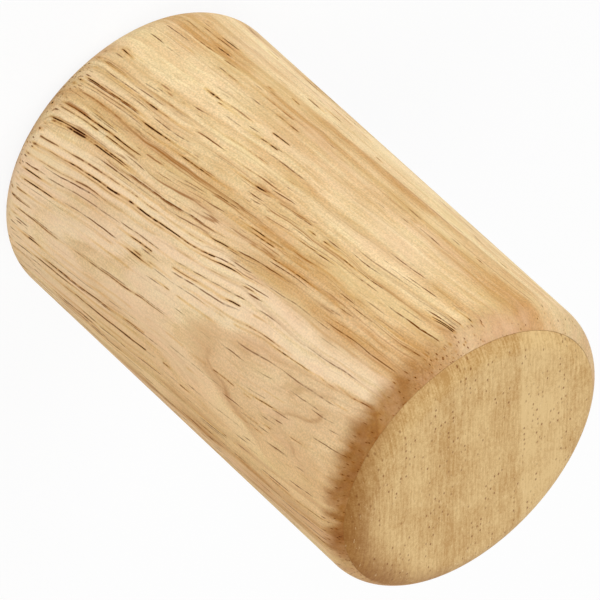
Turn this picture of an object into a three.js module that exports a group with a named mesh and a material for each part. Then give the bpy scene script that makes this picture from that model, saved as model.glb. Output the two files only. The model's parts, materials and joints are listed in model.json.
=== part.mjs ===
// A small wooden hand shaker: a turned hollow body, a lid glued into its open end,
// and loose steel balls that rattle in the chamber between the two.
// Millimetres. +Z is the turning axis, the closed end stands on z = 0 and the lid is on top.

import * as THREE from 'three';

// Turned body
const BODY_DIAMETER = 50;
const BODY_LENGTH = 84;
const EDGE_RADIUS = 5.75; // round-over at both ends
const FLOOR_THICKNESS = 7; // wood left under the bored chamber
const CHAMBER_CORNER_RADIUS = 2; // where the chamber's wall runs into its floor

// Lid and the step that it is glued on
const RIM_WIDTH = 2; // wood left outside the lid's edge
const LEDGE_WIDTH = 3; // step in the bore that carries the lid
const LID_THICKNESS = 6;
const LID_CHAMFER = 0.6; // broken lower edge, so that the lid enters its seat
const GLUE_FILM = 0.15; // on the lid's edge and under it

// Loose balls
const BALL_DIAMETER = 4;
const BALL_COUNT = 55;
const BALL_SPACING = 0.6; // free space between neighbours at rest
const BALL_CLEARANCE = 0.3; // free space to the chamber's floor and wall at rest

// Facets
const TURNED_SEGMENTS = 64; // around the axis
const ARC_DIVISIONS = 3; // a round-over has twice as many steps
const BALL_DETAIL = 2;

// Sizes that follow from the ones above
const bodyRadius = BODY_DIAMETER / 2;
const roundOverRadius = bodyRadius - EDGE_RADIUS; // where a flat end begins to round over
const seatRadius = bodyRadius - RIM_WIDTH;
const chamberRadius = seatRadius - LEDGE_WIDTH;
const lidRadius = seatRadius - GLUE_FILM;
const lidUnderside = BODY_LENGTH - LID_THICKNESS;
const ledgeHeight = lidUnderside - GLUE_FILM;

// Materials
const woodMaterial = new THREE.MeshStandardMaterial({ color: 0xd9b680, roughness: 0.55, metalness: 0 });
const lidMaterial = new THREE.MeshStandardMaterial({ color: 0xd8b376, roughness: 0.6, metalness: 0 });
const steelMaterial = new THREE.MeshStandardMaterial({ color: 0xb9bcbe, roughness: 0.25, metalness: 1 });

// Revolves a profile of radius and height about the turning axis.
function turned(profile) {
  const geometry = new THREE.LatheGeometry(profile.getPoints(ARC_DIVISIONS), TURNED_SEGMENTS);
  return geometry.rotateX(Math.PI / 2);
}

function namedMesh(name, geometry, material) {
  const mesh = new THREE.Mesh(geometry, material);
  mesh.name = name;
  return mesh;
}

// Angle on the upper round-over, from its widest point, at which it has narrowed to a radius.
function roundOverAngle(radius) {
  return Math.acos(THREE.MathUtils.clamp((radius - roundOverRadius) / EDGE_RADIUS, 0, 1));
}

// The body: a closed end with a rounded edge, a straight side, a round-over that stops
// at the lid's seat, the step for the lid, and a flat-bottomed chamber.
function makeTurnedBody() {
  const profile = new THREE.Path();
  profile.moveTo(0, 0);
  profile.lineTo(roundOverRadius, 0);
  profile.absarc(roundOverRadius, EDGE_RADIUS, EDGE_RADIUS, -Math.PI / 2, 0, false);
  const shoulderHeight = BODY_LENGTH - EDGE_RADIUS;
  profile.absarc(roundOverRadius, shoulderHeight, EDGE_RADIUS, 0, roundOverAngle(seatRadius), false);
  if (seatRadius < roundOverRadius) {
    profile.lineTo(seatRadius, BODY_LENGTH);
  }
  profile.lineTo(seatRadius, ledgeHeight);
  profile.lineTo(chamberRadius, ledgeHeight);
  const cornerRadius = CHAMBER_CORNER_RADIUS;
  const cornerHeight = FLOOR_THICKNESS + cornerRadius;
  profile.absarc(chamberRadius - cornerRadius, cornerHeight, cornerRadius, 0, -Math.PI / 2, true);
  profile.lineTo(0, FLOOR_THICKNESS);
  return namedMesh('turned_body', turned(profile), woodMaterial);
}

// The lid, drawn from its underside up. It was turned together with the body,
// so the body's round-over runs on across its edge.
function makeEndLid() {
  const profile = new THREE.Path();
  profile.moveTo(0, 0);
  profile.lineTo(lidRadius - LID_CHAMFER, 0);
  profile.lineTo(lidRadius, LID_CHAMFER);
  if (lidRadius > roundOverRadius) {
    const centreHeight = LID_THICKNESS - EDGE_RADIUS;
    const edgeAngle = roundOverAngle(lidRadius);
    profile.absarc(roundOverRadius, centreHeight, EDGE_RADIUS, edgeAngle, Math.PI / 2, false);
  } else {
    profile.lineTo(lidRadius, LID_THICKNESS);
  }
  profile.lineTo(0, LID_THICKNESS);
  const lid = namedMesh('end_lid', turned(profile), lidMaterial);
  lid.position.z = lidUnderside;
  return lid;
}

// Places of one layer of balls in a close triangular pattern, from the axis outward.
function layerPlaces(reach, pitch) {
  const places = [];
  const rowPitch = pitch * Math.sqrt(3) / 2;
  const lastRow = Math.ceil(reach / rowPitch);
  for (let row = -lastRow; row <= lastRow; row += 1) {
    for (let column = -2 * lastRow; column <= 2 * lastRow; column += 1) {
      const place = new THREE.Vector2(pitch * (column + row / 2), rowPitch * row);
      if (place.length() <= reach) {
        const ring = column * column + column * row + row * row;
        places.push({ place, ring });
      }
    }
  }
  places.sort((a, b) => a.ring - b.ring || a.place.angle() - b.place.angle());
  return places.map((entry) => entry.place);
}

// The fill lies on the chamber's floor. Balls that find no room in a layer start the next one.
function makeBalls() {
  const balls = new THREE.Group();
  const ballRadius = BALL_DIAMETER / 2;
  const pitch = BALL_DIAMETER + BALL_SPACING;
  const places = layerPlaces(chamberRadius - ballRadius - BALL_CLEARANCE, pitch);
  const lowestCentre = FLOOR_THICKNESS + BALL_CLEARANCE + ballRadius;
  for (let index = 0; index < BALL_COUNT; index += 1) {
    const layer = Math.floor(index / places.length);
    const place = places[index % places.length];
    const name = `ball_${String(index + 1).padStart(2, '0')}`;
    const ball = namedMesh(name, new THREE.IcosahedronGeometry(ballRadius, BALL_DETAIL), steelMaterial);
    ball.position.set(place.x, place.y, lowestCentre + layer * pitch);
    balls.add(ball);
  }
  return balls;
}

const shaker = new THREE.Group();
shaker.name = 'wooden_shaker';
shaker.add(makeTurnedBody(), makeEndLid(), makeBalls());

export default shaker;
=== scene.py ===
import json
import math

import bmesh
import bpy
from mathutils import Matrix, Vector


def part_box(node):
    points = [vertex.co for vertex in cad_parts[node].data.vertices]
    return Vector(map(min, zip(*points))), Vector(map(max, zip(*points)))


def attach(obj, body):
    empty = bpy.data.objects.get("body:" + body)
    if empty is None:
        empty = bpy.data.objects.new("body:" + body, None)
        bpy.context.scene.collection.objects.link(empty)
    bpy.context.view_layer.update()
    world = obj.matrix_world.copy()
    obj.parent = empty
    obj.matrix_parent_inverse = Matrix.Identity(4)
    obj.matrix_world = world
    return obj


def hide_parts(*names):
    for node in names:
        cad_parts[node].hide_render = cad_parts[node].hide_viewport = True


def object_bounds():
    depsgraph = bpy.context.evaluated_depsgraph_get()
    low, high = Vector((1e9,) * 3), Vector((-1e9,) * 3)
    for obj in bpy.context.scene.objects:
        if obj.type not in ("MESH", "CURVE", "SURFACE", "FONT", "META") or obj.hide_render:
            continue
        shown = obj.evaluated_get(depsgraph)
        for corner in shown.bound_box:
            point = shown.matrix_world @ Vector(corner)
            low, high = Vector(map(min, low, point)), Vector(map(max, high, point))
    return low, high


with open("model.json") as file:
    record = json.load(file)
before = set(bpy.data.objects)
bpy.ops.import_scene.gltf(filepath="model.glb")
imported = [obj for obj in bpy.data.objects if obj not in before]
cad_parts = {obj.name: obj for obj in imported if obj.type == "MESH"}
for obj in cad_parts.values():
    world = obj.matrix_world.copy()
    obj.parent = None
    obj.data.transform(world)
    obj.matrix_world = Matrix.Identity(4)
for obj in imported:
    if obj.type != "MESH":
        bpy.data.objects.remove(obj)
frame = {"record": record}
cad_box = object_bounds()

MM = 0.001
ORIGIN = (0, 0, 0)
FLATTEN = (1, 1, 0)
WHITE = (1, 1, 1, 1)

# Sizes of the turned pieces, in metres, with the outer ones read from the frame
body_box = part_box("turned_body")
lid_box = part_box("end_lid")
BODY_RADIUS = body_box[1].x
BODY_LENGTH = cad_box[1].z
LID_UNDERSIDE = lid_box[0].z
LID_RADIUS = lid_box[1].x
EDGE_RADIUS = 5.75 * MM
FLOOR_THICKNESS = 7 * MM
CHAMBER_RADIUS = 20 * MM
CHAMBER_CORNER_RADIUS = 2 * MM
GLUE_FILM = 0.15 * MM
LID_CHAMFER = 0.6 * MM
MIDDLE = Vector((0, 0, BODY_LENGTH / 2))
# Centre of the round-over at the lid's end
SHOULDER_RADIUS = BODY_RADIUS - EDGE_RADIUS
SHOULDER_BASE = BODY_LENGTH - EDGE_RADIUS

# The joint as it looks once the glue has drawn it tight
JOINT_WIDTH = 0.05 * MM
JOINT_EASE = 0.12 * MM
TIGHT_SHARE = 0.22
OPEN_SIDE = math.radians(-125)
JOINT_RADIUS = LID_RADIUS + GLUE_FILM / 2
EASE_STEPS = 6
# Its circle lies a little off the axis, towards this angle from +X
JOINT_OFFSET = 0.65 * MM
JOINT_SIDE = math.radians(-40)

TURNED_SEGMENTS = 192
ARC_STEPS = 20
BALL_SUBDIVISIONS = 3
SHARP_ANGLE = math.radians(35)

# Camera
VIEW_ELEVATION = math.radians(32.01)
VIEW_ROLL = math.radians(132.62)
CAMERA_DISTANCE = 1.380
LENS = 561.0
SENSOR = 36.0
CLIP_END = 20
CAMERA_RIGHT = 0.28 * MM
CAMERA_DOWN = 0.51 * MM

# Floor, in metres, and the share of white in it as the camera sees it, by the distance in millimetres
FLOOR_REACH = 3
FLOOR_DROP = 0.2 * MM
FLOOR_COLOUR = (0.86, 0.86, 0.86, 1)
FLOOR_ROUGHNESS = 0.9
FLOOR_WHITE = (120, 600, 0.9, 1.0)
# Strength of the light from all round
AMBIENT = 0.30
# Lamps: side from the camera's towards +X and elevation in degrees, distance in metres, power
LAMP_SIZE = 0.8
LAMPS = {
    "key": (-70, 24, 1.0, 6.2),
    "front": (28, 42, 1.0, 5.6),
    "back": (165, 35, 1.2, 5.0),
}


def screen_colour(red, green, blue):
    """A colour as a screen shows it, 0 to 255, in Blender's linear values, by the sRGB curve."""
    linear = []
    for value in (red, green, blue):
        share = value / 255
        linear.append(share / 12.92 if share <= 0.04045 else ((share + 0.055) / 1.055) ** 2.4)
    return (*linear, 1)


# A Mix node's sockets for the share and the two colours, and its colour output; their names repeat
MIX_INPUTS = (0, 6, 7)
MIX_OUTPUT = 2


class Graph:
    """Writes a node tree by short calls, each of which takes numbers or sockets and gives a socket."""

    def __init__(self, tree):
        self.tree = tree

    def node(self, kind, **settings):
        made = self.tree.nodes.new(kind)
        for name, value in settings.items():
            setattr(made, name, value)
        return made

    def feed(self, socket, value):
        if isinstance(value, bpy.types.NodeSocket):
            self.tree.links.new(value, socket)
        else:
            socket.default_value = value

    def math(self, operation, *values, clamp=False):
        made = self.node("ShaderNodeMath", operation=operation, use_clamp=clamp)
        for socket, value in zip(made.inputs, values):
            self.feed(socket, value)
        return made.outputs[0]

    def chain(self, operation, values, clamp=False):
        """Takes two or more values together, one after another."""
        result = values[0]
        for value in values[1:-1]:
            result = self.math(operation, result, value)
        return self.math(operation, result, values[-1], clamp=clamp)

    def total(self, *values, clamp=False):
        return self.chain("ADD", values, clamp)

    def product(self, *values, clamp=False):
        return self.chain("MULTIPLY", values, clamp)

    def greatest(self, *values):
        return self.chain("MAXIMUM", values)

    def less(self, first, second):
        return self.math("SUBTRACT", first, second)

    def away(self, value, middle):
        return self.math("ABSOLUTE", self.less(value, middle))

    def vector(self, operation, first, second):
        made = self.node("ShaderNodeVectorMath", operation=operation)
        self.feed(made.inputs[0], first)
        self.feed(made.inputs["Scale" if operation == "SCALE" else 1], second)
        return made.outputs["Value" if operation in ("DOT_PRODUCT", "DISTANCE") else "Vector"]

    def along(self, place, direction):
        return self.vector("DOT_PRODUCT", place, direction)

    def split(self, vector):
        made = self.node("ShaderNodeSeparateXYZ")
        self.feed(made.inputs[0], vector)
        return tuple(made.outputs)

    def join(self, x, y, z):
        made = self.node("ShaderNodeCombineXYZ")
        for socket, value in zip(made.inputs, (x, y, z)):
            self.feed(socket, value)
        return made.outputs[0]

    def turn(self, vector, angle):
        made = self.node("ShaderNodeVectorRotate", rotation_type="Z_AXIS")
        self.feed(made.inputs["Vector"], vector)
        self.feed(made.inputs["Angle"], angle)
        return made.outputs[0]

    def noise_node(self, place, size, detail=2.0, roughness=0.5, seed=ORIGIN):
        """Soft noise whose lumps have this size along each axis.
        The values named NOISE below are in this order."""
        scaled = self.vector("DIVIDE", place, size)
        made = self.node("ShaderNodeTexNoise")
        self.feed(made.inputs["Vector"], self.vector("ADD", scaled, seed))
        made.inputs["Scale"].default_value = 1
        made.inputs["Detail"].default_value = detail
        made.inputs["Roughness"].default_value = roughness
        return made

    def noise(self, place, *settings):
        return self.noise_node(place, *settings).outputs[0]

    def noise_colour(self, place, *settings):
        return self.noise_node(place, *settings).outputs[1]

    def cells(self, place, size, seed):
        """Points scattered over the first two axes; gives the distance to the nearest, in cells,
        and its random colour."""
        scaled = self.vector("DIVIDE", place, size)
        made = self.node("ShaderNodeTexVoronoi", feature="F1", voronoi_dimensions="2D")
        self.feed(made.inputs["Vector"], self.vector("ADD", scaled, seed))
        made.inputs["Scale"].default_value = 1
        return made.outputs["Distance"], made.outputs["Color"]

    def ease(self, value, start, end, low=0.0, high=1.0):
        """Goes smoothly from low to high while the value goes from start to end.
        Most named groups of two or four numbers below are such spans, in this order."""
        made = self.node("ShaderNodeMapRange", interpolation_type="SMOOTHSTEP")
        for socket, number in zip(made.inputs, (value, start, end, low, high)):
            self.feed(socket, number)
        return made.outputs[0]

    def swing(self, noise, reach, edge=0.25):
        """Noise as a change of up to reach both ways, without an edge of its range."""
        return self.ease(noise, edge, 1 - edge, -reach, reach)

    def ramp(self, value, stops):
        """A value that follows stops of position and height, eased between them."""
        made = self.node("ShaderNodeValToRGB")
        made.color_ramp.interpolation = "EASE"
        points = made.color_ramp.elements
        while len(points) < len(stops):
            points.new(1.0)
        for point, (position, height) in zip(points, stops):
            point.position = position
            point.color = (height, height, height, 1)
        self.feed(made.inputs[0], value)
        return made.outputs[0]

    def mix(self, share, first, second, blend="MIX"):
        made = self.node("ShaderNodeMix", data_type="RGBA", blend_type=blend)
        for index, value in zip(MIX_INPUTS, (share, first, second)):
            self.feed(made.inputs[index], value)
        return made.outputs[MIX_OUTPUT]

    def tint(self, share, colour, filter_colour):
        """The colour with a share of it seen through a filter."""
        return self.mix(share, colour, filter_colour, "MULTIPLY")


def new_material(name):
    material = bpy.data.materials.new(name)
    material.use_nodes = True
    shader = material.node_tree.nodes["Principled BSDF"]
    return material, Graph(material.node_tree), shader


def place_in_millimetres(graph):
    coordinates = graph.node("ShaderNodeTexCoord")
    return graph.vector("SCALE", coordinates.outputs["Object"], 1 / MM)


def add_bump(graph, shader, height):
    """Relief from a height in millimetres."""
    bump = graph.node("ShaderNodeBump")
    bump.inputs["Distance"].default_value = MM
    graph.feed(bump.inputs["Height"], height)
    graph.feed(shader.inputs["Normal"], bump.outputs[0])


# Sheen of both woods: roughness over the noise of the fibres, and depth of the pores in millimetres
WOOD_ROUGHNESS = (0.2, 0.8, 0.56, 0.66)
WOOD_SPECULAR = 0.10
PORE_DEPTH = 0.015


def finish_wood(graph, shader, colour, roughness, relief, pores):
    graph.feed(shader.inputs["Base Color"], colour)
    graph.feed(shader.inputs["Roughness"], roughness)
    shader.inputs["Specular IOR Level"].default_value = WOOD_SPECULAR
    add_bump(graph, shader, graph.less(relief, graph.product(pores, PORE_DEPTH)))


# Lightness of layers by their distance from the axis, in millimetres, lies on a ramp of this range
BAND_FROM, BAND_TO = -26, 30


def band_lightness(graph, distance, bands):
    span = BAND_TO - BAND_FROM
    position = graph.math("DIVIDE", graph.less(distance, BAND_FROM), span)
    stops = [((place - BAND_FROM) / span, lightness) for place, lightness in bands]
    return graph.ramp(position, stops)


# Fibres of the body lean and twist a little against its axis, per millimetre of height
FIBRE_TWIST = 0.0026
FIBRE_LEAN = (0.075, 0.03)
MIDDLE_HEIGHT = 42
# They waver, too: size of the lumps and reach of the shift, in millimetres
FIBRE_WAVERS = [((14, 14, 34), 3.0), ((3, 3, 9), 0.8), ((1.2, 1.2, 2.2), 0.16)]
WAVER_DETAIL = 1
NOISE_MIDDLE = (0.5, 0.5, 0.5)


def fibre_place(graph, place):
    """Places along the fibres: points of one fibre share their first two numbers."""
    height = graph.less(graph.split(place)[2], MIDDLE_HEIGHT)
    turned = graph.turn(place, graph.product(height, FIBRE_TWIST))
    lean_x, lean_y = [graph.product(height, lean) for lean in FIBRE_LEAN]
    moved = graph.vector("ADD", turned, graph.join(lean_x, lean_y, 0))
    for size, reach in FIBRE_WAVERS:
        waver = graph.noise_colour(place, size, WAVER_DETAIL)
        shift = graph.vector("SUBTRACT", waver, NOISE_MIDDLE)
        moved = graph.vector("ADD", moved, graph.vector("MULTIPLY", shift, (reach, reach, 0)))
    return moved


# Share of the fibres' lift off the turned side that is taken from them for the pores
LIFT_TAKEN = 0.35


def along_surface(graph, place, fibre):
    """Places along fibres that lie closer to the turned side, so that it cuts them at a longer slant."""
    outward = graph.vector("NORMALIZE", graph.vector("MULTIPLY", place, FLATTEN), ORIGIN)
    lift = graph.along(graph.vector("SUBTRACT", fibre, place), outward)
    taken = graph.vector("SCALE", outward, graph.product(lift, LIFT_TAKEN))
    return graph.vector("SUBTRACT", fibre, taken)


# Growth layers of the body: the angle across them, from the camera's side towards +X
LAYER_ANGLE = math.radians(38)
ACROSS_LAYERS = (math.sin(LAYER_ANGLE), -math.cos(LAYER_ANGLE), 0)
ALONG_LAYERS = (math.cos(LAYER_ANGLE), math.sin(LAYER_ANGLE), 0)
# Their slope where the side runs along them, at the front and at the back
FRONT_SLOPE = (22.2, 25, 0, 0.062)
BACK_SLOPE = (-15, -20, 0, -0.085)
# Lightness of the layers by the distance across them
GROWTH_BANDS = [
    (-25, 0.66), (-11.3, 0.72), (-8.5, 0.73), (-6.0, 0.60), (-2.8, 0.34), (-0.8, 0.25),
    (1.9, 0.32), (4.0, 0.46), (6.4, 0.70), (10.1, 0.56), (12.5, 0.66), (14.7, 0.40), (16.9, 0.20),
    (19.4, 0.40), (20.8, 0.60), (22.0, 0.90), (22.55, 0.98), (22.85, 0.72), (23.1, 0.96),
    (23.45, 1.0), (23.75, 0.68), (24.05, 0.98), (24.8, 0.96), (25.2, 0.84), (25.55, 0.36),
    (25.9, 0.62), (26.8, 0.66), (27.2, 0.44), (27.7, 0.68), (28.8, 0.64),
]
# The same sideways, beyond the flat of the layers
SIDE_BANDS = [
    (4, 0.70), (9.5, 0.84), (11, 0.80), (11.7, 0.46), (12.5, 0.84), (14.4, 0.70), (15.2, 0.44),
    (16.1, 0.90), (17.8, 0.90), (18.5, 0.54), (19.4, 0.82), (22, 0.66), (25, 0.64),
]
BEYOND_FLAT = (5, 12)


def layer_place(graph, fibre):
    """Places in the growth layers: the distance across them, sideways along them, and the height."""
    across = graph.along(fibre, ACROSS_LAYERS)
    height = graph.split(fibre)[2]
    slope = graph.total(graph.ease(across, *FRONT_SLOPE), graph.ease(across, *BACK_SLOPE))
    rise = graph.product(graph.less(height, MIDDLE_HEIGHT), slope)
    return graph.join(graph.total(across, rise), graph.along(fibre, ALONG_LAYERS), height)


def layer_lightness(graph, across, sideways):
    beyond = graph.ease(sideways, *BEYOND_FLAT)
    banded = graph.product(band_lightness(graph, across, GROWTH_BANDS), graph.less(1, beyond))
    beside = graph.product(beyond, band_lightness(graph, sideways, SIDE_BANDS))
    return graph.total(banded, beside)


# How clearly the layers show, by the distance sideways, by the height and at the back
CLEAR_BESIDE = (5, 15, 0.35, 1)
CLEAR_ABOVE = (44, 58, 0.35, 0.65)
CLEAR_BEHIND = (-13, -18, 0, 0.9)
BELOW_SHOULDER = (77, 80, 1, 0.3)
# Noise of the fibres: size of its lumps in millimetres, detail and roughness
FIBRE_NOISE = ((0.26, 0.26, 5), 2, 0.6)


class BodyGrain:
    """What the body's wood depends on at a point: lengths in millimetres, and shares."""

    def __init__(self, graph):
        self.graph = graph
        self.place = place_in_millimetres(graph)
        self.fibre = fibre_place(graph, self.place)
        self.layer = layer_place(graph, self.fibre)
        self.height = graph.split(self.place)[2]
        self.across, self.sideways, _ = graph.split(self.layer)
        self.heart = graph.along(self.place, ACROSS_LAYERS)
        self.lightness = layer_lightness(graph, self.across, self.sideways)
        self.fibres = graph.noise(self.fibre, *FIBRE_NOISE)
        self.below = graph.ease(self.height, *BELOW_SHOULDER)
        beside = graph.ease(graph.math("ABSOLUTE", self.sideways), *CLEAR_BESIDE)
        above = graph.ease(self.height, *CLEAR_ABOVE)
        behind = graph.ease(self.across, *CLEAR_BEHIND)
        clear = graph.greatest(beside, above, behind)
        self.clear = graph.product(clear, self.below)

    def combine(self, rules, operation="ADD"):
        """Takes rules together; each names one of the values above and says how it eases."""
        result = None
        for measure, *span in rules:
            eased = self.graph.ease(getattr(self, measure), *span)
            result = eased if result is None else self.graph.math(operation, result, eased)
        return result

    def share(self, rules):
        return self.combine(rules, "MULTIPLY")


# The darkest and the palest wood, how much streaks, clouds, fibres and specks change its lightness, and
# a painted shade that darkens the lower body on the side turned away from the lamps
DARK_WOOD = screen_colour(197, 151, 93)
PALE_WOOD = screen_colour(239, 214, 170)
STREAK_NOISE = ((1.2, 16, 80), 2, 0.5)
STREAK_CHANGE = 0.28
CLOUD_NOISE = ((8, 8, 12), 2, 0.5, (4, 4, 1))
CLOUD_CHANGE = 0.18
FIBRE_CHANGE = 0.12
SPECK_NOISE = ((0.25, 0.25, 0.3), 1)
SPECK_BRIGHTNESS = (0.2, 0.8, 0.86, 1.14)
# Painted shade: lower lightness low on the body beyond the flat of the layers, where the side turns away
# from the lamps
PAINTED_SHADE_LOW_SIDE = [("sideways", 11.5, 15.5), ("height", 42, 28, 0, -0.28)]
# Streaks along the fibres: distance, half width, heights from none to full, change of lightness
STREAKS = [
    (19.6, 3.4, 38, 50, -0.20), (21.2, 1.5, 38, 50, -0.42), (14.8, 2.5, 54, 64, -0.14),
    (1.7, 4.5, 58, 67, -0.34), (5.0, 7.0, 34, 16, 0.20), (17.5, 4.0, 36, 18, 0.24),
    (8.5, 4.5, 48, 57, -0.19), (16.5, 3.0, 66, 74, 0.20), (11.0, 1.8, 24, 15, -0.24),
    (1.0, 2.5, 22, 12, 0.18), (6.4, 2.6, 60, 67, -0.20), (13.4, 2.5, 67, 73, 0.18),
]
STREAK_CORE = 0.3


def layer_colour(graph, grain):
    """Colour by the growth layers, with streaks, clouds, fibres and specks in it, and painted shade low
    on one side.
    """
    streaks = graph.noise(grain.layer, *STREAK_NOISE)
    tone = graph.total(grain.lightness, graph.product(grain.clear, graph.swing(streaks, STREAK_CHANGE)))
    for distance, half_width, start, end, change in STREAKS:
        near = graph.ease(graph.away(grain.across, distance), half_width, STREAK_CORE * half_width)
        tone = graph.total(tone, graph.product(near, graph.ease(grain.height, start, end, 0, change)))
    clouds = graph.noise(grain.place, *CLOUD_NOISE)
    tone = graph.total(tone, graph.swing(clouds, CLOUD_CHANGE))
    # Painted shade low on the side that faces away from the lamps
    tone = graph.total(tone, grain.share(PAINTED_SHADE_LOW_SIDE))
    tone = graph.total(tone, graph.swing(grain.fibres, FIBRE_CHANGE), clamp=True)
    colour = graph.mix(tone, DARK_WOOD, PALE_WOOD)
    specks = graph.noise(grain.place, *SPECK_NOISE)
    return graph.vector("SCALE", colour, graph.ease(specks, *SPECK_BRIGHTNESS))


# Patches of other hues: the noise that places them, and their shares
HUE_NOISE = ((4, 4, 26), 2)
PINK_SHARE = (0.50, 0.7, 0, 0.30)
PINK_WOOD = screen_colour(228, 192, 158)
YELLOW_SHARE = (0.48, 0.3, 0, 0.25)
YELLOW_WOOD = screen_colour(228, 202, 146)
# Pale layers are pinker
FLUSH_SHARE = (0.7, 0.95, 0, 0.40)
FLUSH_WOOD = screen_colour(238, 207, 176)
# Filters: warm beyond the flat of the layers, partly a warmer wood and partly painted shade on that
# side, which faces away from the lamps; slightly green at the other side, and a faint play of both
WARM_AND_SHADED_SIDE = [("sideways", -6, 13), ("height", 14, 34, 0.6, 1)]
WARM_AND_SHADE_FILTER = (0.925, 0.83, 0.675, 1)
GREEN_SIDE = (-12, -19)
GREEN_FILTER = (0.988, 1.008, 0.99, 1)
BLUSH_NOISE = ((1.5, 1.5, 7), 2, 0.5, (8, 8, 3))
BLUSH_SHARE = (0.3, 0.7)
COOL_FILTER = (0.988, 1.008, 1.0, 1)
BLUSH_FILTER = (1.012, 0.986, 0.994, 1)


def add_hues(graph, grain, colour):
    """Pinker and yellower patches, and a warmer, darker tone beyond the flat of the layers, partly wood
    and partly painted shade.
    """
    hue = graph.noise(grain.fibre, *HUE_NOISE)
    colour = graph.mix(graph.ease(hue, *PINK_SHARE), colour, PINK_WOOD)
    colour = graph.mix(graph.ease(grain.lightness, *FLUSH_SHARE), colour, FLUSH_WOOD)
    colour = graph.mix(graph.ease(hue, *YELLOW_SHARE), colour, YELLOW_WOOD)
    # Partly a warmer wood, partly painted shade on the side that faces away from the lamps
    colour = graph.tint(grain.share(WARM_AND_SHADED_SIDE), colour, WARM_AND_SHADE_FILTER)
    blush = graph.noise(grain.fibre, *BLUSH_NOISE)
    play = graph.mix(graph.ease(blush, *BLUSH_SHARE), COOL_FILTER, BLUSH_FILTER)
    colour = graph.tint(1.0, colour, play)
    return graph.tint(graph.ease(grain.sideways, *GREEN_SIDE), colour, GREEN_FILTER)


# Arches of the layers, on their flat
ARCH_SHARE = [("across", 22.2, 23.0), ("lightness", 0.88, 0.45, 0, 0.30)]
ARCH_COLOUR = screen_colour(216, 175, 138)


def add_arches(graph, grain, colour):
    """Pink along the layers that their flat shows as arches."""
    return graph.mix(grain.share(ARCH_SHARE), colour, ARCH_COLOUR)


# Growth lines along the layers, and threads along the fibres
LINE_NOISE = ((0.5, 14, 60), 2, 0.55, (3, 7, 1))
LINE_SHOWN = (0.56, 0.74)
LINE_SHARE = [("lightness", 0.8, 0.25, 0.3, 0.9), ("across", 10, 15, 0.55, 1.3)]
LINE_COLOUR = screen_colour(160, 104, 48)
THREAD_NOISE = ((0.45, 0.45, 26), 2, 0.5, (7, 3, 5))
THREAD_SHOWN = (0.58, 0.70)
THREAD_SHARE = [
    ("across", 11, 15, 0.1, 0.75), ("sideways", -17, -9, 1, 0.2), ("height", 48, 62, 1, 0.45),
]
THREAD_COLOUR = screen_colour(154, 98, 46)


def add_lines(graph, grain, colour):
    """Fine brown lines, faint where the surface runs along a layer and on the shoulder."""
    lines = graph.ease(graph.noise(grain.layer, *LINE_NOISE), *LINE_SHOWN)
    lines = graph.product(lines, grain.share(LINE_SHARE), grain.clear)
    colour = graph.mix(lines, colour, LINE_COLOUR)
    threads = graph.ease(graph.noise(grain.fibre, *THREAD_NOISE), *THREAD_SHOWN)
    threads = graph.product(threads, grain.share(THREAD_SHARE), grain.below)
    return graph.mix(threads, colour, THREAD_COLOUR)


# Soaked ends: their border on the shoulder, which wavers and lies higher sideways, and the closed end's
HIGHER_SIDEWAYS = (0, 16, 0, 1.6)
BORDER_NOISE = ((3, 3, 6), 1, 0.5, (9, 4, 2))
BORDER_REACH = 0.4
BORDER_EDGE = 0.2
FINGER_NOISE = ((1.7, 1.7, 10), 2, 0.5, (1, 8, 5))
FINGER_REACH = 0.7
SHOULDER_END = (76.5, 80.6)
CLOSED_END = (4.0, 1.0, 0, 0.3)
# How deeply they are soaked, by the distance across the layers, and mottled
SOAKED_SHARE = [
    ("heart", -9, 12, 0, 0.42), ("heart", 14.5, 22, 0, 0.50), ("heart", -6, -14, 0, 0.32),
]
MOTTLE_NOISE = ((2.2, 2.2, 2.2), 3, 0.6, (6, 2, 8))
SOAKED_MOTTLE = (0.3, 0.7, 0.92, 1.06)
SOAKED_FILTER = (0.43, 0.25, 0.075, 1)
# A rosy patch on the shoulder
ROSY_MIDDLE = 3
ROSY_SHARE = (13, 1, 0, 0.28)
ROSY_MOTTLE = (0.3, 0.7, 0.6, 1.3)
ROSY_RISE = (78, 82.5)
ROSY_WOOD = screen_colour(232, 188, 160)


def add_soaked_ends(graph, grain, colour):
    """End grain that drank more of the finish, most of all on the heart side."""
    border = graph.noise(grain.fibre, *BORDER_NOISE)
    higher = graph.ease(grain.sideways, *HIGHER_SIDEWAYS)
    higher = graph.total(higher, graph.swing(border, BORDER_REACH, BORDER_EDGE))
    fingers = graph.noise(grain.fibre, *FINGER_NOISE)
    rise = graph.total(graph.less(grain.height, higher), graph.swing(fingers, FINGER_REACH))
    ends = graph.greatest(graph.ease(rise, *SHOULDER_END), graph.ease(grain.height, *CLOSED_END))
    mottle = graph.noise(grain.place, *MOTTLE_NOISE)
    soaked = graph.product(grain.combine(SOAKED_SHARE), graph.ease(mottle, *SOAKED_MOTTLE))
    colour = graph.tint(graph.product(ends, soaked, clamp=True), colour, SOAKED_FILTER)
    rosy = graph.ease(graph.away(grain.heart, ROSY_MIDDLE), *ROSY_SHARE)
    rosy = graph.product(rosy, graph.ease(mottle, *ROSY_MOTTLE), graph.ease(rise, *ROSY_RISE))
    return graph.mix(rosy, colour, ROSY_WOOD)


# Pores: spacing, radius and length of a run in millimetres, and seed
WIDE_PORES = (1.12, 0.168, 5, (5, 13, 0))
FINE_PORES = (0.75, 0.13, 10, (2, 17, 0))
# In shares of a pore's radius: its dark core, and where its stain begins and is full
PORE_CORE = 0.35
STAIN_FROM, STAIN_FULL = 2.3, 0.6
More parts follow.
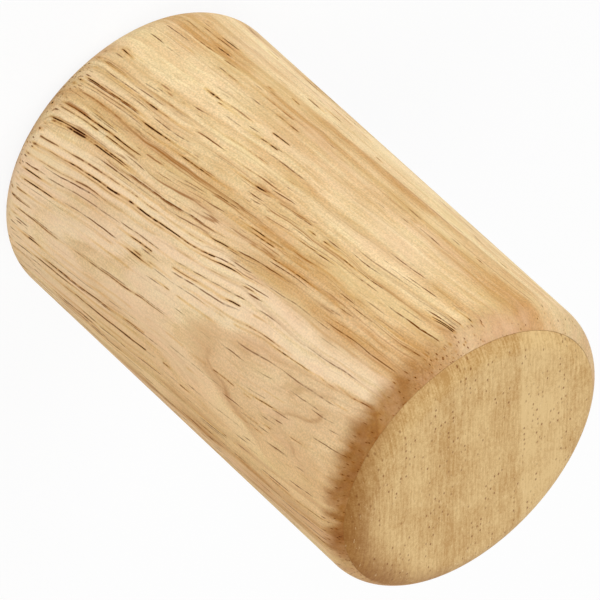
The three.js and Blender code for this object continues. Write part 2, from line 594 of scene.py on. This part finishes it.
# Each pore follows its own string of noise, which breaks it into runs and beads
STRING_SPREAD = 90
RUN_SETTINGS = (1, 0.5)
RUN_BORDER = (-0.03, 0.05)
BEAD_SIZE = (1, 1, 3.2)
BEAD_SETTINGS = (3, 0.75)
BEAD_SHARE = (0.36, 0.56, 0.25, 1.1)
PORE_STRENGTH = (0, 0.8, 0.4, 1)


def vessels(graph, fibre, kind, width, shown):
    """Dark pores along the fibres: dashes where a side cuts them at a slant, dots on an end.
    Gives the pores and their stain."""
    spacing, radius, run, seed = kind
    distance, colour = graph.cells(fibre, (spacing, spacing, 1), seed)
    chance, strength, phase = graph.split(colour)
    reach = graph.product(width, radius / spacing)
    core = graph.ease(distance, reach, graph.product(reach, PORE_CORE))
    along = graph.split(fibre)[2]
    string = graph.join(graph.product(chance, STRING_SPREAD), graph.product(phase, STRING_SPREAD), along)
    filled = graph.noise(string, (1, 1, run), *RUN_SETTINGS, seed)
    beads = graph.noise(string, BEAD_SIZE, *BEAD_SETTINGS, seed)
    core = graph.product(core, graph.ease(beads, *BEAD_SHARE))
    seen = graph.ease(graph.less(shown, filled), *RUN_BORDER)
    seen = graph.product(seen, graph.ease(strength, *PORE_STRENGTH))
    stain = graph.ease(distance, graph.product(reach, STAIN_FROM), graph.product(reach, STAIN_FULL))
    return graph.product(core, seen), graph.product(stain, seen)


# Share of the body's pores that shows
MANY_NOISE = ((12, 12, 18), 1, 0.5, (5, 1, 2))
MANY_SHARE = (0.3, 0.65, 0.44, 0.60)
PORE_RULES = [
    ("height", 80, 15, -0.04, 0.17), ("height", 48, 60, 0, 0.08), ("height", 6, 3, 0, -0.20),
    ("across", 5, 15, -0.24, 0.05), ("across", -11, -18, 0, 0.24), ("sideways", 8, 15, 0, 0.26),
]
FEWER_PORES = [("sideways", -15, -5, 0.04, -0.11), ("height", 14, 32, 0.2, 1)]
# The share of the fine ones differs from it by these
FINE_RULES = [("height", 30, 50, -0.06, 0), ("sideways", 1, 9, 0, 0.06)]
MORE_FINE = [("height", 40, 58), ("sideways", -14, -6, 0, 0.08)]
# Width of the pores by the height, the least width of the fine ones, and the colours
PORE_WIDTH = (72, 16, 0.64, 1.18)
FINE_WIDTH = 1.05
FINE_COLOUR = screen_colour(116, 62, 8)
STAIN_SHARE = 0.55
STAIN_FILTER = (0.82, 0.62, 0.24, 1)
RIM_SHARE = (0, 0.6, 0, 0.75)
RIM_COLOUR = screen_colour(140, 74, 16)
PORE_SHARE = (0.4, 0.95)
PORE_COLOUR = screen_colour(60, 22, 0)


def add_pores(graph, grain, colour):
    """Pores with a stained edge, most at the closed end and on the heart side.
    Gives the colour and the pores."""
    many = graph.noise(grain.place, *MANY_NOISE)
    shown = graph.total(graph.ease(many, *MANY_SHARE), grain.combine(PORE_RULES))
    shown = graph.total(shown, grain.share(FEWER_PORES))
    shown_fine = graph.total(shown, grain.combine(FINE_RULES), grain.share(MORE_FINE))
    width = graph.ease(grain.height, *PORE_WIDTH)
    slanted = along_surface(graph, grain.place, grain.fibre)
    fine, _ = vessels(graph, slanted, FINE_PORES, graph.greatest(width, FINE_WIDTH), shown_fine)
    colour = graph.mix(fine, colour, FINE_COLOUR)
    pores, stain = vessels(graph, slanted, WIDE_PORES, width, shown)
    colour = graph.tint(graph.product(stain, STAIN_SHARE), colour, STAIN_FILTER)
    colour = graph.mix(graph.ease(pores, *RIM_SHARE), colour, RIM_COLOUR)
    return graph.mix(graph.ease(pores, *PORE_SHARE), colour, PORE_COLOUR), pores


# Relief of the fibres in millimetres, and what a pore adds to the roughness
FIBRE_RELIEF = 0.012
PORE_ROUGHNESS = 0.2


def body_wood():
    material, graph, shader = new_material("body_wood")
    grain = BodyGrain(graph)
    colour = layer_colour(graph, grain)
    for add in (add_hues, add_arches, add_lines, add_soaked_ends):
        colour = add(graph, grain, colour)
    colour, pores = add_pores(graph, grain, colour)
    smooth = graph.ease(grain.fibres, *WOOD_ROUGHNESS)
    roughness = graph.total(smooth, graph.product(pores, PORE_ROUGHNESS))
    finish_wood(graph, shader, colour, roughness, graph.product(grain.fibres, FIBRE_RELIEF), pores)
    return material


# The lid's grain: directions across and along its layers, and the lightness of the layers
ACROSS_LID = (0.866, -0.5, 0)
ALONG_LID = (0.5, 0.866, 0)
LID_BANDS = [
    (-24, 0.40), (-18, 0.52), (-15.5, 0.80), (-8.4, 0.88), (-7.2, 0.36), (-5.8, 0.48), (-1.5, 0.56),
    (3.5, 0.50), (6.0, 0.26), (7.2, 0.46), (12, 0.56), (17, 0.46), (24, 0.36),
]
LID_DARK_WOOD = screen_colour(186, 145, 88)
LID_PALE_WOOD = screen_colour(219, 187, 132)
# Noise of the lid, and how far the layers waver
WAVER_NOISE = ((6, 9, 9), 2, 0.5, (2, 5, 1))
WAVER_REACH = 0.8
RAY_NOISE = ((0.30, 5, 60), 2, 0.6, (8, 2, 4))
LID_CLOUD_NOISE = ((7, 7, 7), 3, 0.6, (7, 3, 2))
GRIT_NOISE = ((0.5, 0.9, 1), 2, 0.6, (5, 5, 5))
LID_SPECK_NOISE = ((0.24, 0.24, 0.24), 1)
# Change of lightness by each, and the edge of the noise that is left out
RAY_SWING = (0.30, 0.25)
LID_CLOUD_SWING = (0.22, 0.3)
GRIT_SWING = (0.20, 0.3)
LID_SPECK_SWING = (0.25, 0.2)


def lid_layer_colour(graph, place, grain, band, rays):
    """Colour by the layers of the end grain, with rays, clouds, grit and specks in it."""
    waver = graph.noise(grain, *WAVER_NOISE)
    wavered = graph.total(band, graph.swing(waver, WAVER_REACH))
    tone = graph.total(band_lightness(graph, wavered, LID_BANDS), graph.swing(rays, *RAY_SWING))
    clouds = graph.noise(place, *LID_CLOUD_NOISE)
    tone = graph.total(tone, graph.swing(clouds, *LID_CLOUD_SWING))
    grit = graph.noise(grain, *GRIT_NOISE)
    tone = graph.total(tone, graph.swing(grit, *GRIT_SWING))
    specks = graph.noise(place, *LID_SPECK_NOISE)
    tone = graph.total(tone, graph.swing(specks, *LID_SPECK_SWING), clamp=True)
    return graph.mix(tone, LID_DARK_WOOD, LID_PALE_WOOD)


# Dark edge of the lid, partly darker end grain and mostly painted shade on the side turned away from the
# lamps: the middle of the paler round, its border, and the turned edge beside it
PALE_MIDDLE = (-5.98, 0.52, 0)
PALE_BORDER = (22.5, 29.5)
EDGE_FACING = (0.97, 0.75)
EDGE_SIDE = (-14, -4, 0, 0.25)
EDGE_SHADE_FILTER = (0.58, 0.41, 0.24, 1)


def add_lid_edge_shade(graph, place, band, colour):
    """The edge is darker, partly its end grain and mostly painted shade, most of all on one side, where
    the painted shade runs in over the flat.
    """
    facing = graph.split(graph.node("ShaderNodeTexCoord").outputs["Normal"])[2]
    aside = graph.vector("DISTANCE", graph.vector("MULTIPLY", place, FLATTEN), PALE_MIDDLE)
    edge = graph.product(graph.ease(facing, *EDGE_FACING), graph.ease(band, *EDGE_SIDE))
    # Painted shade, with some darker end grain, on the rounded edge and over the lid's far side
    grain_and_shade = graph.greatest(graph.ease(aside, *PALE_BORDER), edge)
    return graph.tint(grain_and_shade, colour, EDGE_SHADE_FILTER)


# Flecks and pores of the lid
FLECK_NOISE = ((0.22, 1.1, 60), 1, 0.5, (4, 6, 9))
FLECK_SHARE = (0.66, 0.82, 0, 0.5)
FLECK_COLOUR = screen_colour(236, 208, 158)
LID_PORE_CELLS = ((0.8, 1.3, 1), (3, 1, 0))
CLUSTER_NOISE = ((2.6, 9, 9), 1, 0.5, (1, 9, 3))
CLUSTER_SHARE = (0.42, 0.68, 0.02, 0.62)
LID_PORE_BORDER = (0, 0.05)
LID_PORE_SIZE = (0.26, 0.10)
LID_PORE_STRENGTH = (0, 1, 0.2, 0.8)
LID_PORE_COLOUR = screen_colour(120, 70, 26)


def add_lid_pores(graph, grain, colour):
    """Pale flecks along the rays, and brown pores that stand closer along some layers.
    Gives the colour and the pores."""
    flecks = graph.noise(grain, *FLECK_NOISE)
    colour = graph.mix(graph.ease(flecks, *FLECK_SHARE), colour, FLECK_COLOUR)
    distance, random = graph.cells(grain, *LID_PORE_CELLS)
    chance, strength, _ = graph.split(random)
    clusters = graph.ease(graph.noise(grain, *CLUSTER_NOISE), *CLUSTER_SHARE)
    shown = graph.ease(graph.less(clusters, chance), *LID_PORE_BORDER)
    dark = graph.ease(strength, *LID_PORE_STRENGTH)
    pores = graph.product(graph.ease(distance, *LID_PORE_SIZE), shown, dark)
    return graph.mix(pores, colour, LID_PORE_COLOUR), pores


# Relief of the rays in millimetres
RAY_RELIEF = 0.01


def lid_wood():
    material, graph, shader = new_material("lid_wood")
    place = place_in_millimetres(graph)
    band = graph.along(place, ACROSS_LID)
    grain = graph.join(band, graph.along(place, ALONG_LID), graph.split(place)[2])
    rays = graph.noise(grain, *RAY_NOISE)
    colour = lid_layer_colour(graph, place, grain, band, rays)
    colour = add_lid_edge_shade(graph, place, band, colour)
    colour, pores = add_lid_pores(graph, grain, colour)
    roughness = graph.ease(rays, *WOOD_ROUGHNESS)
    finish_wood(graph, shader, colour, roughness, graph.product(rays, RAY_RELIEF), pores)
    return material


# Polished steel of the balls
POLISH_NOISE = ((0.5, 0.5, 0.5), 3, 0.6)
POLISH_ROUGHNESS = (0.2, 0.8, 0.14, 0.30)
POLISH_RELIEF = 0.004
DULL_STEEL = screen_colour(176, 178, 180)
BRIGHT_STEEL = screen_colour(200, 202, 203)


def ball_steel():
    material, graph, shader = new_material("ball_steel")
    polish = graph.noise(place_in_millimetres(graph), *POLISH_NOISE)
    shader.inputs["Metallic"].default_value = 1
    graph.feed(shader.inputs["Base Color"], graph.mix(polish, DULL_STEEL, BRIGHT_STEEL))
    graph.feed(shader.inputs["Roughness"], graph.ease(polish, *POLISH_ROUGHNESS))
    add_bump(graph, shader, graph.product(polish, POLISH_RELIEF))
    return material


def arc(centre_r, centre_z, radius, start, end):
    """Points of an arc in the profile plane, angles in degrees from the outward direction."""
    points = []
    for step in range(ARC_STEPS + 1):
        angle = math.radians(start + (end - start) * step / ARC_STEPS)
        points.append((centre_r + radius * math.cos(angle), centre_z + radius * math.sin(angle)))
    return points


def eased_corner(before, corner, after):
    """Points of a corner that is rounded over from the point before it to the point after it."""
    points = []
    for step in range(EASE_STEPS + 1):
        share = step / EASE_STEPS
        weights = ((1 - share) ** 2, 2 * share * (1 - share), share ** 2)
        points.append(tuple(
            weights[0] * before[axis] + weights[1] * corner[axis] + weights[2] * after[axis]
            for axis in range(2)))
    return points


def link_object(name, data):
    made = bpy.data.objects.new(name, data)
    bpy.context.scene.collection.objects.link(made)
    return made


def smooth_piece(name, shape):
    """An object with smooth faces from a shape, which is freed."""
    mesh = bpy.data.meshes.new(name)
    for face in shape.faces:
        face.smooth = True
    shape.to_mesh(mesh)
    shape.free()
    return link_object(name, mesh)


def revolve(name, profile_at):
    """A closed solid about Z; profile_at gives its profile at an angle, from axis to axis."""
    shape = bmesh.new()
    angles = [2 * math.pi * segment / TURNED_SEGMENTS for segment in range(TURNED_SEGMENTS)]
    profiles = [profile_at(angle) for angle in angles]
    bottom = shape.verts.new((0, 0, profiles[0][0][1]))
    top = shape.verts.new((0, 0, profiles[0][-1][1]))
    rings = []
    for step in range(1, len(profiles[0]) - 1):
        ring = []
        for angle, profile in zip(angles, profiles):
            radius, height = profile[step]
            ring.append(shape.verts.new((radius * math.cos(angle), radius * math.sin(angle), height)))
        rings.append(ring)
    for segment in range(TURNED_SEGMENTS):
        after = (segment + 1) % TURNED_SEGMENTS
        shape.faces.new((bottom, rings[0][after], rings[0][segment]))
        for lower, upper in zip(rings, rings[1:]):
            shape.faces.new((lower[segment], lower[after], upper[after], upper[segment]))
        shape.faces.new((top, rings[-1][segment], rings[-1][after]))
    piece = smooth_piece(name, shape)
    piece.data.set_sharp_from_angle(angle=SHARP_ANGLE)
    return piece


def make_camera():
    across = Vector((1, 0, 0))
    up = Vector((0, math.sin(VIEW_ELEVATION), math.cos(VIEW_ELEVATION)))
    back = Vector((0, -math.cos(VIEW_ELEVATION), math.sin(VIEW_ELEVATION)))
    right = math.cos(VIEW_ROLL) * across + math.sin(VIEW_ROLL) * up
    image_up = -math.sin(VIEW_ROLL) * across + math.cos(VIEW_ROLL) * up
    data = bpy.data.cameras.new("camera")
    data.lens = LENS
    data.sensor_width = SENSOR
    data.clip_end = CLIP_END
    camera = link_object("camera", data)
    place = MIDDLE + back * CAMERA_DISTANCE + right * CAMERA_RIGHT - image_up * CAMERA_DOWN
    turned = Matrix((right, image_up, back)).transposed().to_4x4()
    camera.matrix_world = Matrix.Translation(place) @ turned
    bpy.context.scene.camera = camera


def shoulder_angle(radius):
    """Angle on the upper round-over, in degrees from its widest point, at this radius."""
    return math.degrees(math.acos((radius - SHOULDER_RADIUS) / EDGE_RADIUS))


def shoulder_height(radius):
    return SHOULDER_BASE + EDGE_RADIUS * math.sin(math.radians(shoulder_angle(radius)))


def joint_radius(angle):
    away = angle - JOINT_SIDE
    reach = math.sqrt(JOINT_RADIUS ** 2 - (JOINT_OFFSET * math.sin(away)) ** 2)
    return JOINT_OFFSET * math.cos(away) + reach


def joint_edge(angle, side):
    """Radius of the joint's edge at an angle, its height, and how far it is eased.
    The side is 1 for the body's edge and -1 for the lid's."""
    openness = TIGHT_SHARE + (1 - TIGHT_SHARE) * max(0, math.cos(angle - OPEN_SIDE))
    radius = joint_radius(angle) + side * openness * JOINT_WIDTH / 2
    return radius, shoulder_height(radius), openness * JOINT_EASE


def body_profile(angle):
    seat, rim, ease = joint_edge(angle, 1)
    last_angle = shoulder_angle(seat) - math.degrees(ease / EDGE_RADIUS)
    ledge = LID_UNDERSIDE - GLUE_FILM
    profile = [(0, 0)]
    profile += arc(SHOULDER_RADIUS, EDGE_RADIUS, EDGE_RADIUS, -90, 0)
    profile += arc(SHOULDER_RADIUS, SHOULDER_BASE, EDGE_RADIUS, 0, last_angle)
    profile += eased_corner(profile[-1], (seat, rim), (seat, rim - ease))[1:]
    profile += [(seat, ledge), (CHAMBER_RADIUS, ledge)]
    profile += arc(CHAMBER_RADIUS - CHAMBER_CORNER_RADIUS, FLOOR_THICKNESS + CHAMBER_CORNER_RADIUS,
                   CHAMBER_CORNER_RADIUS, 0, -90)
    profile.append((0, FLOOR_THICKNESS))
    return profile


def lid_profile(angle):
    edge, rim, ease = joint_edge(angle, -1)
    first_angle = shoulder_angle(edge) + math.degrees(ease / EDGE_RADIUS)
    rounded = arc(SHOULDER_RADIUS, SHOULDER_BASE, EDGE_RADIUS, first_angle, 90)
    profile = [(0, LID_UNDERSIDE)]
    profile += [(edge - LID_CHAMFER, LID_UNDERSIDE), (edge, LID_UNDERSIDE + LID_CHAMFER)]
    profile += eased_corner((edge, rim - ease), (edge, rim), rounded[0])
    profile += rounded[1:]
    profile.append((0, BODY_LENGTH))
    return profile


def make_ball(node):
    low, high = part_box(node)
    shape = bmesh.new()
    bmesh.ops.create_icosphere(shape, subdivisions=BALL_SUBDIVISIONS, radius=(high.z - low.z) / 2)
    ball = smooth_piece(node + "_steel", shape)
    ball.location = (low + high) / 2
    return ball


def finish_piece(piece, body, node, material):
    piece.data.materials.append(material)
    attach(piece, body)
    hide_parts(node)


def make_balls():
    steel = ball_steel()
    for body, nodes in frame["record"]["behaviour"]["bodies"].items():
        for node in nodes:
            if node.startswith("ball"):
                finish_piece(make_ball(node), body, node, steel)


def background_rays(graph):
    """1 for the rays that show the background, 0 for those that light the object."""
    path = graph.node("ShaderNodeLightPath")
    kinds = ("Is Camera Ray", "Is Glossy Ray", "Is Transmission Ray")
    return graph.greatest(*[path.outputs[kind] for kind in kinds])


def floor_material():
    """Pale, and nearly white to the camera, with the object's soft shadow on it."""
    material, graph, shader = new_material("floor")
    shader.inputs["Base Color"].default_value = FLOOR_COLOUR
    shader.inputs["Roughness"].default_value = FLOOR_ROUGHNESS
    glow = graph.node("ShaderNodeEmission")
    mixed = graph.node("ShaderNodeMixShader")
    away = graph.vector("DISTANCE", place_in_millimetres(graph), ORIGIN)
    share = graph.product(background_rays(graph), graph.ease(away, *FLOOR_WHITE))
    for socket, value in zip(mixed.inputs, (share, shader.outputs[0], glow.outputs[0])):
        graph.feed(socket, value)
    output = material.node_tree.nodes["Material Output"]
    graph.feed(output.inputs["Surface"], mixed.outputs[0])
    return material


def make_floor():
    mesh = bpy.data.meshes.new("floor")
    corners = [(FLOOR_REACH * x, FLOOR_REACH * y, 0) for x, y in ((-1, -1), (1, -1), (1, 1), (-1, 1))]
    mesh.from_pydata(corners, [], [(0, 1, 2, 3)])
    floor = link_object("floor", mesh)
    floor.location.z = -FLOOR_DROP
    floor.data.materials.append(floor_material())


def make_world():
    world = bpy.data.worlds.new("studio")
    bpy.context.scene.world = world
    world.use_nodes = True
    graph = Graph(world.node_tree)
    background = world.node_tree.nodes["Background"]
    background.inputs["Color"].default_value = WHITE
    graph.feed(background.inputs["Strength"], graph.ease(background_rays(graph), 0, 1, AMBIENT, 1))


def make_lamp(name, side_degrees, elevation_degrees, distance, power):
    """A square soft light that looks at the object's middle."""
    side = math.radians(side_degrees)
    elevation = math.radians(elevation_degrees)
    data = bpy.data.lights.new(name, "AREA")
    data.size = LAMP_SIZE
    data.energy = power
    lamp = link_object(name, data)
    level = math.cos(elevation)
    away = Vector((math.sin(side) * level, -math.cos(side) * level, math.sin(elevation)))
    turned = away.to_track_quat("Z", "Y").to_matrix().to_4x4()
    lamp.matrix_world = Matrix.Translation(MIDDLE + away * distance) @ turned


make_camera()
finish_piece(revolve("shaker_body", body_profile), "shell", "turned_body", body_wood())
finish_piece(revolve("shaker_lid", lid_profile), "shell", "end_lid", lid_wood())
make_balls()
make_floor()
make_world()
for lamp_name, settings in LAMPS.items():
    make_lamp(lamp_name, *settings)
bpy.context.scene.view_settings.view_transform = "Standard"
